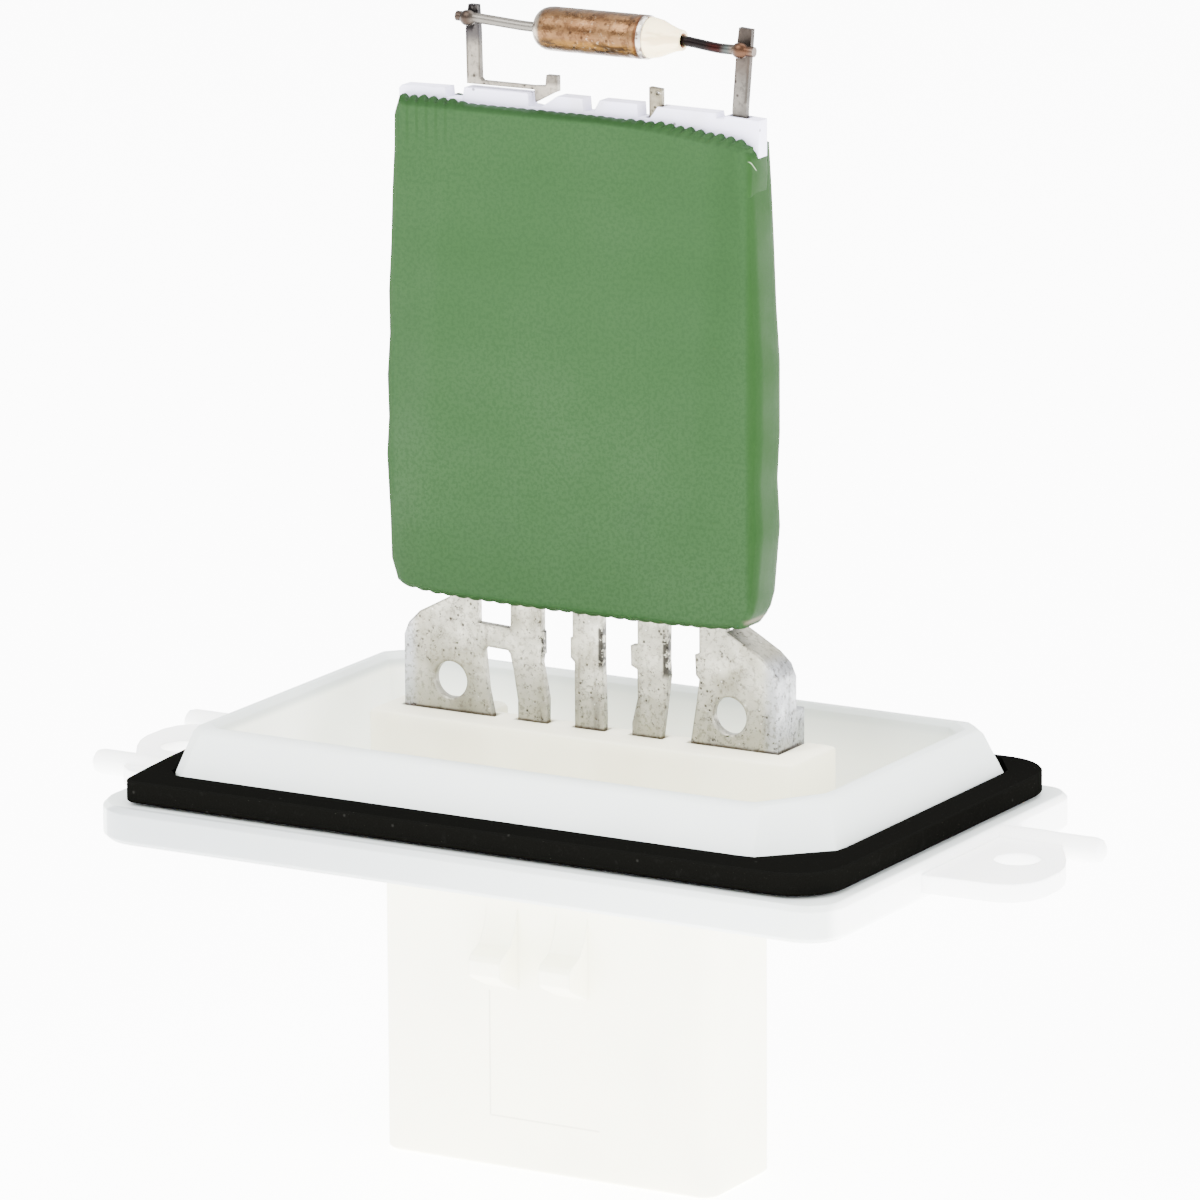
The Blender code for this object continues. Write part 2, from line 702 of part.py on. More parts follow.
def toothed(x0, x1, z_at, height, pitch, up):
    """saw edge from x0 to x1 along a line given by a function of x"""
    count = max(3, round(abs(x1 - x0) / pitch))
    points = []
    for i in range(count):
        for part, rise in ((0.0, 0.0), (0.28, 0.8), (0.5, 1.0), (0.78, 0.75)):
            x = x0 + (x1 - x0) * (i + part) / count
            points.append((x, z_at(x) + up * (rise + 0.12 * (i % 3)) * height(x)))
    return points


# slow waves of the sides, (height over the bottom edge, amount toward +X)
RIGHT_WAVES = (
    (1.4, -1.2), (2.2, -0.75), (3.6, -0.35), (9.7, 0.2), (14.0, -0.05), (18.4, 0.2),
    (25.0, 0.2), (30.0, -0.15), (36.0, -0.4), (41.0, -0.65), (43.4, -0.8), (44.9, -0.9),
)
LEFT_WAVES = (
    (1.2, 0.75), (3.2, 0.1), (7.1, 0.0), (13.0, -0.3), (16.6, -0.05), (20.5, -0.15),
    (24.4, 0.15), (28.4, 0.1), (33.0, 0.4), (38.0, 0.6), (42.0, 0.85), (45.0, 0.9),
)


def jacket_outline(sharp):
    """edge of the coat, its teeth sharp at 1 and smoothed away toward 0"""
    left = CARD_MID_X - CARD_X / 2
    right = CARD_MID_X + CARD_X / 2

    def top(x):
        fall = max(0.0, (x - 2.0) / (right - 2.0))
        return CARD_TOP - 0.5 * TOOTH - 1.45 * fall ** 1.6

    def bottom(x):
        side = abs(x - CARD_MID_X) / (CARD_X / 2)
        return CARD_BOTTOM + TOOTH * 0.5 + 0.2 * side ** 2 + 0.7 * side ** 6

    def worn(x):
        middle = min(1.0, max(0.0, (x + 14.0) / 3.0), max(0.0, (9.0 - x) / 5.0))
        return TOOTH * sharp * (1.0 - 0.8 * middle)

    def low_worn(x):
        return 0.5 * TOOTH * sharp

    points = toothed(left + 1.3, right - 1.5, bottom, low_worn, 1.35 * TOOTH_PITCH, -1)
    for z, out in RIGHT_WAVES:
        points.append((right + out, CARD_BOTTOM + z))
    points.extend(toothed(right - 1.55, left + 1.2, top, worn, TOOTH_PITCH, 1))
    for z, out in reversed(LEFT_WAVES):
        points.append((left + out, CARD_BOTTOM + z))
    return points


def silicone_jacket():
    half = CARD_T / 2
    mid_z = (CARD_TOP + CARD_BOTTOM) / 2

    def shrunk(by, sharp):
        out = []
        for x, z in jacket_outline(sharp):
            dx = x - CARD_MID_X
            dz = z - mid_z
            out.append((
                CARD_MID_X + dx * (1 - by / (CARD_X / 2)),
                mid_z + dz * (1 - 0.5 * by / (CARD_TOP - mid_z)),
            ))
        return out

    rings = []
    edges = ((0.0, 0.8, 0.15), (0.25, 0.3, 0.3), (0.7, 0.05, 0.8), (1.2, 0.0, 1.0))
    for y, by, sharp in edges:
        rings.append([(x, y - half, z) for x, z in shrunk(by, sharp)])
    for y, by, sharp in reversed(edges):
        rings.append([(x, half - y, z) for x, z in shrunk(by, sharp)])
    item = link("silicone_jacket", loft(rings), SILICONE)
    slot = CORE_T / 2 + GAP
    reach = CORE_WAIST / 2 + GAP
    space = box(CARD_MID_X - reach, CARD_MID_X + reach, -slot, slot,
                CARD_BOTTOM - 2, CARD_TOP + 3)
    cut(item, tool("core_space", space))
    wide = reach + WINDING_T + GAP
    deep = slot + WINDING_T + GAP
    space = box(CARD_MID_X - wide, CARD_MID_X + wide, -deep, deep,
                WINDING_BOTTOM - GAP, WINDING_BOTTOM + 2 * WINDING_PITCH + WINDING_L + GAP)
    cut(item, tool("winding_space", space))
    head = CARD_TOP - CORE_HEAD
    slot += 0.1
    space = box(CARD_MID_X - CARD_X, CARD_MID_X + CARD_X, -slot, slot, head - 1.1, CARD_TOP + 3)
    cut(item, tool("head_space", space))
    return item


# fuse and posts
def left_fuse_post():
    x = LEFT_POST_X
    half = POST_W / 2
    rail = CORE_TOP + GAP
    outline = [
        (x - half, rail), (-5.2, rail), (-5.1, CORE_TOP - 0.85), (-3.2, CORE_TOP + 0.15),
        (-2.8, rail), (-2.8, rail + 1.45), (-3.95, rail + 1.45), (-4.05, rail + 0.45),
        (-5.4, rail + 0.34), (x + half + 0.2, rail + 0.36), (x + half, rail + 0.6),
        (x + half - 0.1, POST_TOP - 2.3), (x + half - 0.25, POST_TOP),
        (x - half + 0.2, POST_TOP), (x - half - 0.1, POST_TOP - 2.3),
    ]
    return link("left_fuse_post", panel(outline, -POST_T / 2, POST_T / 2), TIN)


def tap_tab():
    sunk = CORE_TOP - POST_SINK
    outline = [
        (TAB_X0, sunk), (TAB_X1, sunk), (TAB_X1, CORE_TOP + 1.45), (TAB_X0, CORE_TOP + 1.55),
    ]
    item = link("tap_tab", panel(outline, -POST_T / 2, POST_T / 2), TIN)
    hole = turned_y(TAB_X1 - 0.4, CORE_TOP + 1.05, 0.2, -2, 2, 12)
    cut(item, tool("tap_tab_hole", hole))
    return item


def right_fuse_post():
    x = RIGHT_POST_X
    half = POST_W / 2
    lean = RIGHT_POST_LEAN
    sunk = CORE_TOP - POST_SINK
    outline = [
        (x - half, sunk), (x + half, sunk), (x + half, CORE_TOP + 0.2),
        (x + half + 0.75 * lean, POST_TOP - 2.0), (x + half + lean, POST_TOP),
        (x - half + lean + 0.1, POST_TOP + 0.1), (x - half + 0.7 * lean, POST_TOP - 2.0),
        (x - half, CORE_TOP + 0.2),
    ]
    return link("right_fuse_post", panel(outline, -POST_T / 2, POST_T / 2), TIN)


def fuse_can():
    r = FUSE_R
    stations = [
        (FUSE_X0, 0.62 * r), (FUSE_X0 + 0.3, 0.82 * r), (FUSE_X0 + 0.9, 0.97 * r),
        (FUSE_X0 + 1.5, r), (FUSE_X1 - 1.4, r), (FUSE_X1 - 1.25, 0.965 * r),
        (FUSE_X1 - 1.0, 0.965 * r), (FUSE_X1 - 0.9, r), (FUSE_X1 - 0.25, r),
        (FUSE_X1, 0.93 * r),
    ]
    item = link("fuse_can", turned_x(stations, FUSE_Y, FUSE_Z), COPPER)
    bore = turned_x([(FUSE_X0 - 1, LEAD_R + GAP), (FUSE_X0 + 1.0, LEAD_R + GAP)], FUSE_Y, FUSE_Z, 16)
    cut(item, tool("fuse_can_lead_space", bore))
    return item


def fuse_seal():
    r = FUSE_R
    x0 = FUSE_X1 + GAP
    span = CONE_X1 - x0
    stations = [
        (x0, 0.9 * r), (x0 + 0.12 * span, 0.92 * r), (x0 + 0.35 * span, 0.84 * r),
        (x0 + 0.6 * span, 0.66 * r), (x0 + 0.8 * span, 0.53 * r), (x0 + 0.94 * span, 0.48 * r),
        (CONE_X1, 0.46 * r),
    ]
    item = link("fuse_seal", turned_x(stations, FUSE_Y, FUSE_Z, 32), EPOXY)
    bore = turned_x([(x0 + 1.6, LEAD_R + 0.2), (CONE_X1 + 1, LEAD_R + 0.2)], FUSE_Y, FUSE_Z, 16)
    cut(item, tool("fuse_seal_lead_space", bore))
    return item


def fuse_lead(name, points, weld):
    """lead wire ending in the flattened lump that is welded to the front of its post"""
    item = link(name, wire_body(points, LEAD_R), LEAD)
    x, z = weld
    thick = 0.6
    y = LEAD_Y + LEAD_R - thick
    join(item, tool(name + "_weld", lump((x, y, z), 0.85, thick, 0.76)))
    return item


def left_fuse_lead():
    x = LEFT_POST_X
    z = FUSE_Z
    points = [
        (FUSE_X0 + 0.6, FUSE_Y, z), (FUSE_X0 - 1.4, FUSE_Y - 0.1, z + 0.02),
        (x + 2.4, 0.8 * LEAD_Y, z + 0.3), (x + 0.7, LEAD_Y, z + 0.45),
        (x - POST_W / 2 - 0.5, LEAD_Y, z + 0.5),
    ]
    return fuse_lead("left_fuse_lead", points, (x, z + 0.4))


def right_fuse_lead():
    x = RIGHT_POST_X + 0.68 * RIGHT_POST_LEAN
    z = FUSE_Z - 0.3
    points = [
        (CONE_X1 - 1.2, FUSE_Y, FUSE_Z), (CONE_X1 + 0.6, FUSE_Y, FUSE_Z - 0.05),
        (x - 2.4, 0.8 * LEAD_Y, z), (x - 0.7, LEAD_Y, z), (x + POST_W / 2 + 0.9, LEAD_Y, z - 0.05),
    ]
    return fuse_lead("right_fuse_lead", points, (x + 0.2, z))


base_moulding()
flange_gasket()
left_terminal()
middle_terminal()
inner_terminal()
right_terminal()
ceramic_core()
for place, word in enumerate(("lower", "middle", "upper")):
    winding(word + "_winding", WINDING_BOTTOM + place * WINDING_PITCH)
silicone_jacket()
left_fuse_post()
tap_tab()
right_fuse_post()
fuse_can()
fuse_seal()
left_fuse_lead()
right_fuse_lead()
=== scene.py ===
# %% [markdown]
# A blower motor resistor, dressed for a studio picture.
# The solids come ready and in their places. This lesson gives each one a smooth skin and a
# finish that is made only of nodes, adds the few pieces that are easier to turn or cast here, and
# ends with a floor, soft light and the camera. All lengths are in metres.

# %% Load the ready solids
import bpy
import bmesh
import math
from mathutils import Matrix, Vector


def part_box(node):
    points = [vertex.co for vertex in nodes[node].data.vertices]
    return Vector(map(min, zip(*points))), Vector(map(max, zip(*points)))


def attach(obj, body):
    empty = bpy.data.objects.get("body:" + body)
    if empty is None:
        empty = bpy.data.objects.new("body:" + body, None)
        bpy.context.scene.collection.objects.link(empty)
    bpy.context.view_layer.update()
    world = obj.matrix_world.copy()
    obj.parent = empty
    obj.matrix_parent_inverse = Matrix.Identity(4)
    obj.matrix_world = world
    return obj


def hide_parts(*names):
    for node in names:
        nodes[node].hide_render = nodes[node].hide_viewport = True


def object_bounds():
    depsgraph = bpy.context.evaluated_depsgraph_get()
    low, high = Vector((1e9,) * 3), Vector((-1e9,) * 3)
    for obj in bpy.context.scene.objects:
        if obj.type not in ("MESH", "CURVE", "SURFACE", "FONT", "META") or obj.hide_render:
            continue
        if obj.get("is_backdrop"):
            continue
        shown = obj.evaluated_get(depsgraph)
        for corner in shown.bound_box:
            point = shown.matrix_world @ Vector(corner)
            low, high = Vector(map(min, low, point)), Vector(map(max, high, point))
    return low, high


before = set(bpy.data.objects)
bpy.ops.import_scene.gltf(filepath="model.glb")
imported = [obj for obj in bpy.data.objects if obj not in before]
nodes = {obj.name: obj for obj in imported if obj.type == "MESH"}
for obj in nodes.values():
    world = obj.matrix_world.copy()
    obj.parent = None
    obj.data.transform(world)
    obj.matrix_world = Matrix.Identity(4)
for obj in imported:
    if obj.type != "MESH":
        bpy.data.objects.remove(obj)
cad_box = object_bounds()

print("solids:", len(nodes), "box:", [[round(v, 4) for v in corner] for corner in cad_box])

# %% [markdown]
# Colours read from a screen are not light. A screen squeezes dark tones, so every colour that is
# picked has to be opened out again before a shader may use it. The light at the end is
# strong, so that white plastic on white paper comes out white. Every other surface is painted
# darker than it looks in the picture, to stand in that light.


# %% Colours in light
def tone(red, green, blue):
    def open_out(value):
        value = value / 255
        return value / 12.92 if value < 0.04045 else ((value + 0.055) / 1.055) ** 2.4
    return (open_out(red), open_out(green), open_out(blue), 1.0)


print("middle grey 128 is", round(tone(128, 128, 128)[0], 3), "in light")

# %% [markdown]
# A finish is a small graph of nodes. The class below keeps such a graph and gives short words for
# what a maker asks of it: a cloud of noise, a mask between two heights, a mix of two colours.
# Every pattern reads the Object coordinates, which are metres on the piece itself, so a grain of
# half a millimetre is written as what it is.


# %% A finish and its words
class Finish:
    def __init__(self, name, colour, roughness, metallic=0.0):
        self.material = bpy.data.materials.new(name)
        self.material.use_nodes = True
        self.tree = self.material.node_tree
        self.shader = self.tree.nodes["Principled BSDF"]
        self.shader.inputs["Metallic"].default_value = metallic
        self.shader.inputs["Roughness"].default_value = roughness
        self.shader.inputs["Base Color"].default_value = colour
        self.place = self.node("ShaderNodeTexCoord").outputs["Object"]
        split = self.node("ShaderNodeSeparateXYZ")
        self.join(self.place, split.inputs[0])
        self.x, self.y, self.z = split.outputs
        self.colour = colour
        self.normal = None

    def node(self, kind, **settings):
        made = self.tree.nodes.new(kind)
        for key, value in settings.items():
            setattr(made, key, value)
        return made

    def join(self, source, target):
        self.tree.links.new(source, target)

    def feed(self, value, socket):
        if isinstance(value, bpy.types.NodeSocket):
            self.join(value, socket)
        else:
            socket.default_value = value

    def maths(self, operation, first, second=0.0, third=0.0):
        made = self.node("ShaderNodeMath", operation=operation)
        for value, socket in zip((first, second, third), made.inputs):
            self.feed(value, socket)
        return made.outputs[0]

    def ramp(self, value, low, high, start=0.0, end=1.0):
        """a soft step from start, where value is low, to end, where it is high"""
        made = self.node("ShaderNodeMapRange", interpolation_type="SMOOTHSTEP")
        self.feed(value, made.inputs["Value"])
        made.inputs["From Min"].default_value = low
        made.inputs["From Max"].default_value = high
        made.inputs["To Min"].default_value = start
        made.inputs["To Max"].default_value = end
        return made.outputs["Result"]

    def stretched(self, stretch):
        """the place on the piece, with each axis multiplied by its share"""
        turn = self.node("ShaderNodeMapping")
        turn.inputs["Scale"].default_value = stretch
        self.join(self.place, turn.inputs["Vector"])
        return turn.outputs[0]

    def cloud(self, size, detail=3.0, rough=0.55, stretch=(1, 1, 1)):
        """noise whose blobs are about size metres across"""
        made = self.node("ShaderNodeTexNoise")
        made.inputs["Scale"].default_value = 0.5 / size
        made.inputs["Detail"].default_value = detail
        made.inputs["Roughness"].default_value = rough
        self.join(self.stretched(stretch), made.inputs["Vector"])
        return made.outputs[0]

    def dots(self, pitch, radius, stretch=(1, 1, 1)):
        """1 inside scattered round dots, 0 between them"""
        made = self.node("ShaderNodeTexVoronoi")
        made.inputs["Scale"].default_value = 1.0 / pitch
        self.join(self.stretched(stretch), made.inputs["Vector"])
        return self.ramp(made.outputs["Distance"], radius / pitch, 0.45 * radius / pitch)

    def inside(self, axis, span, soft):
        """1 between the two values of span on one axis, with edges soft by soft metres"""
        low, high = span
        rise = self.ramp(axis, low - soft, low + soft)
        fall = self.ramp(axis, high - soft, high + soft, 1.0, 0.0)
        return self.maths("MULTIPLY", rise, fall)

    def both(self, *masks):
        out = masks[0]
        for mask in masks[1:]:
            out = self.maths("MULTIPLY", out, mask)
        return out

    def paint(self, mask, colour, amount=1.0):
        """lay a colour over the present one where the mask is 1"""
        made = self.node("ShaderNodeMix", data_type="RGBA")
        if amount != 1.0:
            mask = self.maths("MULTIPLY", mask, amount)
        self.feed(mask, made.inputs[0])
        self.feed(self.colour, made.inputs[6])
        self.feed(colour, made.inputs[7])
        self.colour = made.outputs[2]

    def relief(self, height, depth, soft_edge=0.0):
        """push the surface in and out by up to depth metres, by shading alone"""
        if self.normal is None and soft_edge:
            made = self.node("ShaderNodeBevel", samples=6)
            made.inputs["Radius"].default_value = soft_edge
            self.normal = made.outputs[0]
        made = self.node("ShaderNodeBump")
        made.inputs["Strength"].default_value = 1.0
        made.inputs["Distance"].default_value = depth
        self.join(height, made.inputs["Height"])
        if self.normal is not None:
            self.join(self.normal, made.inputs["Normal"])
        self.normal = made.outputs[0]

    def done(self, roughness=None):
        if isinstance(self.colour, bpy.types.NodeSocket):
            self.join(self.colour, self.shader.inputs["Base Color"])
        if roughness is not None:
            self.join(roughness, self.shader.inputs["Roughness"])
        if self.normal is not None:
            self.join(self.normal, self.shader.inputs["Normal"])
        print("finish", self.material.name, "has", len(self.tree.nodes), "nodes")
        return self.material


# %% [markdown]
# A solid arrives as loose triangles, so light would show every facet of a round. The cure is a
# copy whose triangles are merged, whose flat parts are joined into one face, and whose edges are
# called sharp only where two faces meet at a real corner. A shape that is made here goes the same
# way: its mesh holds its place, and its object stays at the origin.

# %% From a shape to an object
weld_distance = 2e-6
flat_angle = math.radians(0.4)


def placed(shape, piece_name, material):
    """an object at the origin that shows the shape, which is used up"""
    mesh = bpy.data.meshes.new(piece_name)
    shape.to_mesh(mesh)
    shape.free()
    mesh.materials.append(material)
    piece = bpy.data.objects.new(piece_name, mesh)
    bpy.context.scene.collection.objects.link(piece)
    print("placed", piece_name, "faces", len(mesh.polygons))
    return piece


def mark_corners(shape, corner):
    """call an edge smooth where its two faces turn by less than corner degrees"""
    for edge in shape.edges:
        edge.smooth = len(edge.link_faces) == 2 and edge.calc_face_angle(0) < math.radians(corner)


# %% A smooth skin from a ready solid
def skin(node_name, piece_name, material, corner=32.0):
    shape = bmesh.new()
    shape.from_mesh(nodes[node_name].data)
    bmesh.ops.remove_doubles(shape, verts=shape.verts, dist=weld_distance)
    bmesh.ops.dissolve_limit(shape, angle_limit=flat_angle, verts=shape.verts, edges=shape.edges)
    for face in shape.faces:
        face.smooth = True
    mark_corners(shape, corner)
    piece = placed(shape, piece_name, material)
    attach(piece, "root")
    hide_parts(node_name)
    return piece


# %% [markdown]
# The base is natural nylon: milky, a little glossy, and warmer where it is thick. Light goes into
# it and comes back softened, which Subsurface gives. It is one moulding, so its parts are told
# apart by where they lie: the shroud and the pedestal are creamy, the trough and the ears are
# painted brighter as painted light, and the front edge of the flange falls into shade towards the
# left.

# %% Where the parts of the base lie
shroud_end = (0.0312, 0.0322)
ear_start = (0.0384, 0.0392)
flange_z = (0.0312, 0.0354)
flange_front = (-0.0232, -0.0236)
flange_shade = (0.040, -0.030)
pedestal_x = (-0.0218, 0.0240)
pedestal_y = (-0.0024, 0.0075)
pedestal_z = (0.0340, 0.0440)
trough_x = (-0.0312, 0.0315)
trough_y = (-0.0165, 0.0185)
trough_z = (0.0325, 0.0405)
cut_corner = (0.0402, 0.0407)
pedestal_long = pedestal_x[1] - pedestal_x[0]
print("the pedestal is", round(pedestal_long * 1000, 1), "mm long")


# %% Tones of the moulding
def base_tones(f):
    """lay the tone of each part of the base by its place"""
    shroud = f.ramp(f.z, *shroud_end, 1.0, 0.0)
    f.paint(shroud, tone(249, 246, 224), 0.9)
    # The ears are painted brighter, as painted light on their tops.
    ear_light = f.ramp(f.maths("ABSOLUTE", f.x), *ear_start)
    f.paint(ear_light, tone(252, 253, 252), 0.95)
    front_edge = f.both(f.ramp(f.y, *flange_front), f.inside(f.z, flange_z, 0.0002))
    f.paint(f.both(front_edge, f.ramp(f.x, *flange_shade)), tone(142, 147, 150), 0.8)
    pedestal = f.both(f.inside(f.x, pedestal_x, 0.0003), f.inside(f.y, pedestal_y, 0.0003),
                      f.inside(f.z, pedestal_z, 0.0008))
    f.paint(pedestal, tone(236, 232, 206), 0.95)
    before_corner = f.ramp(f.maths("SUBTRACT", f.x, f.y), *cut_corner, 1.0, 0.0)
    # The trough is painted brighter, as painted light in the recess, up to the cut corner.
    trough_light = f.both(f.inside(f.x, trough_x, 0.0004), f.inside(f.y, trough_y, 0.0004),
                    f.inside(f.z, trough_z, 0.0004), f.maths("SUBTRACT", 1.0, pedestal),
                    before_corner)
    f.paint(trough_light, tone(249, 251, 243), 0.95)


# %% Painted shade in the pedestal, and a seam of the mould
def pedestal_shade_bands(f):
    """warm bands of painted shade on the front of the pedestal, where the terminals lie inside it"""
    left_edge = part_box("left_terminal")[0][0]
    bands = f.ramp(f.cloud(0.006, 2.0, 0.5, (1.0, 0.2, 0.35)), 0.35, 0.75)
    front = f.both(f.inside(f.x, (left_edge - 0.001, 0.0215), 0.002),
                   f.inside(f.y, (-0.0026, -0.0008), 0.0004),
                   f.inside(f.z, (0.0345, 0.0408), 0.0008))
    f.paint(f.both(front, bands), tone(206, 196, 160), 0.5)


def shroud_seam(f):
    """the fine line that an insert of the mould leaves on the front of the shroud"""
    seam_x = -0.00705
    seam_z = 0.0049
    half = 0.00008
    on_front = f.ramp(f.y, -0.003, -0.004)
    upright = f.both(f.inside(f.x, (seam_x - half, seam_x + half), 0.00006),
                     f.inside(f.z, (seam_z, 0.0169), 0.0001), on_front)
    level = f.both(f.inside(f.z, (seam_z - half, seam_z + half), 0.00006),
                   f.inside(f.x, (-0.0070, 0.0046), 0.0001), on_front)
    f.paint(f.maths("MAXIMUM", upright, level), tone(170, 166, 148), 0.5)


# %% Natural nylon
def natural_nylon():
    f = Finish("natural_nylon", tone(200, 206, 204), 0.4)
    f.shader.inputs["Subsurface Weight"].default_value = 0.2
    f.shader.inputs["Subsurface Radius"].default_value = (1.0, 0.9, 0.7)
    f.shader.inputs["Subsurface Scale"].default_value = 0.0015
    base_tones(f)
    pedestal_shade_bands(f)
    f.paint(f.ramp(f.cloud(0.012), 0.45, 0.7), tone(190, 192, 184), 0.25)
    shroud_seam(f)
    f.relief(f.cloud(0.0006, 4.0), 0.000012, 0.0003)
    f.relief(f.cloud(0.006, 2.0), 0.00005)
    return f.done(f.ramp(f.cloud(0.004), 0.3, 0.7, 0.34, 0.48))


moulded_base = skin("base_moulding", "moulded_base", natural_nylon(), 28.0)

# %% [markdown]
# The seal is a sheet of black foam, stamped out and dropped round the rim. Its cells are under
# half a millimetre, so they are noise in the relief, with a few cells that catch the light. Foam
# has no gloss, so the shader's specular is shut off. The top and the sides are lit from different
# places, so they are painted apart.


# %% Black foam
def black_foam():
    foam_top = (0.0374, 0.0377)
    f = Finish("black_foam", tone(7, 7, 6), 0.9)
    f.shader.inputs["Specular IOR Level"].default_value = 0.0
    f.paint(f.ramp(f.cloud(0.0005, 4.0, 0.7), 0.55, 0.75), tone(14, 14, 13), 0.5)
    f.paint(f.ramp(f.z, *foam_top), tone(9, 9, 8), 0.9)
    f.paint(f.dots(0.0021, 0.00018), tone(34, 34, 32), 0.4)
    f.relief(f.cloud(0.00035, 4.0, 0.7), 0.00008)
    return f.done()


seal = skin("flange_gasket", "foam_seal", black_foam())

# %% [markdown]
# The terminals are stamped from tinned sheet. New tin is bright, but this has dulled: clouds of
# warm and cool grey, pits where flux has eaten in, and rubbed lines along the sheet. Metal shows
# mostly what it reflects, so the clouds go into the roughness as well as the colour. A sheared
# edge is painted dark as painted shade, and a bend gets a painted highlight.

# %% Where the sheet is marked, and where its edge gets painted shade
foot_z = (0.0408, 0.04155)
edge_shade_z = (0.0472, 0.0512)


def pitting(f):
    """dark flecks, pits and a few bright grains; gives back where the sheet is eaten away"""
    flecks = f.ramp(f.cloud(0.0007, 5.0, 0.8), 0.615, 0.65)
    f.paint(flecks, tone(46, 40, 34), 0.75)
    patches = f.ramp(f.cloud(0.004), 0.4, 0.5)
    pits = f.both(f.dots(0.0009, 0.00017), patches)
    f.paint(pits, tone(30, 25, 21), 0.8)
    fine_pits = f.ramp(f.cloud(0.00034, 4.0, 0.8), 0.6, 0.63)
    f.paint(f.both(fine_pits, patches), tone(40, 33, 28), 0.8)
    f.paint(f.dots(0.0023, 0.00022), tone(26, 20, 17), 0.8)
    f.paint(f.dots(0.0013, 0.00014, (1.3, 1.3, 1.3)), tone(190, 188, 180), 0.7)
    return f.maths("MAXIMUM", pits, flecks)


# %% Tinned sheet
def tinned_sheet(name, tint=(150, 148, 136), edge_shade_x=None, fold_highlight=None):
    """the sheared edge's x, where given, is painted dark for a few millimetres as painted shade, and
    the pair of x values for a bend runs from flat sheet to a painted highlight along it"""
    red, green, blue = tint
    f = Finish(name, tone(*tint), 0.42, 1.0)
    dull = tone(0.72 * red, 0.71 * green, 0.65 * blue)
    f.paint(f.ramp(f.cloud(0.0035, 4.0), 0.42, 0.66), dull, 0.7)
    bright = tone(1.11 * red, 1.11 * green, 1.13 * blue)
    f.paint(f.ramp(f.cloud(0.0012, 4.0, 0.65), 0.54, 0.7), bright, 0.5)
    # A painted highlight along the bend.
    if fold_highlight is not None:
        f.paint(f.ramp(f.x, *fold_highlight), tone(164, 167, 174), 0.7)
    f.paint(f.ramp(f.cloud(0.00022, 3.0, 0.7), 0.5, 0.64), tone(88, 84, 74), 0.55)
    rubbed = f.cloud(0.0008, 3.0, 0.6, (1.0, 1.0, 0.12))
    f.paint(f.ramp(rubbed, 0.56, 0.72), tone(70, 64, 55), 0.45)
    eaten = pitting(f)
    foot = f.both(f.inside(f.z, foot_z, 0.00012), f.ramp(f.cloud(0.0012), 0.35, 0.5))
    f.paint(foot, tone(56, 42, 30), 0.7)
    # Painted shade along the sheared edge.
    if edge_shade_x is not None:
        edge = f.both(f.inside(f.x, (edge_shade_x - 0.00055, edge_shade_x + 0.0005), 0.0001),
                      f.inside(f.z, edge_shade_z, 0.0004), f.ramp(f.cloud(0.0004, 3.0, 0.7), 0.42, 0.5))
        f.paint(edge, tone(16, 13, 12), 0.9)
    f.relief(f.cloud(0.0004, 4.0, 0.7), 0.00005, 0.0004)
    f.relief(f.maths("SUBTRACT", 1.0, eaten), 0.00005)
    return f.done(f.ramp(f.cloud(0.001, 4.0), 0.3, 0.7, 0.3, 0.58))


# %% Four terminals
left_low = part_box("left_terminal")[0][0]
right_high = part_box("right_terminal")[1][0]
left_fold_highlight = (left_low + 0.0016, left_low + 0.0004)
right_fold_highlight = (right_high - 0.0018, right_high - 0.0004)
for node_name, piece_name, sheared, fold_highlight in (
    ("left_terminal", "left_blade_plate", True, left_fold_highlight),
    ("middle_terminal", "middle_blade_strip", True, None),
    ("inner_terminal", "inner_blade_strip", True, None),
    ("right_terminal", "right_blade_plate", False, right_fold_highlight),
):
    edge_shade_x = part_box(node_name)[1][0] if sheared else None
    tin = tinned_sheet(piece_name + "_tin", edge_shade_x=edge_shade_x, fold_highlight=fold_highlight)
    skin(node_name, piece_name, tin)

# %% [markdown]
# The card is a white ceramic core wound with wire and dipped in green silicone. The coat is
# painted darker over its upper part and on its right side, as painted shade, and it is darker in a
# narrow band along the edges of its face. It lies in slow waves over the windings below. Small
# marks tell that it was handled: a scratch, drips under the teeth on the left, and a rubbed spot at
# the lower right corner.

# %% Marks in the coat
jacket_low, jacket_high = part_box("silicone_jacket")
scratch_height = 0.0957
tooth_pitch = 0.00102


def coat_marks(f):
    rise = f.maths("MULTIPLY", f.maths("SUBTRACT", f.z, scratch_height), 1.1)
    scratch = f.both(f.inside(f.maths("ADD", f.y, rise), (-0.00006, 0.00006), 0.00004),
                     f.inside(f.z, (0.0952, 0.0961), 0.0001),
                     f.ramp(f.x, jacket_high[0] - 0.0012, jacket_high[0] - 0.0009))
    f.paint(scratch, tone(120, 136, 112), 0.9)
    comb = f.maths("SINE", f.maths("MULTIPLY", f.x, 2 * math.pi / tooth_pitch))
    drips = f.both(f.ramp(f.x, jacket_low[0] + 0.0085, jacket_low[0] + 0.0065),
                   f.ramp(f.z, jacket_high[2] - 0.0060, jacket_high[2] - 0.0015),
                   f.ramp(comb, 0.2, 1.0))
    f.paint(drips, tone(24, 47, 20), 0.5)
    rubbed_spot = f.both(f.inside(f.x, (jacket_high[0] - 0.0016, jacket_high[0] + 0.001), 0.0003),
                         f.inside(f.z, (jacket_low[2] + 0.0001, jacket_low[2] + 0.0013), 0.0004))
    f.paint(rubbed_spot, tone(150, 128, 120), 0.75)


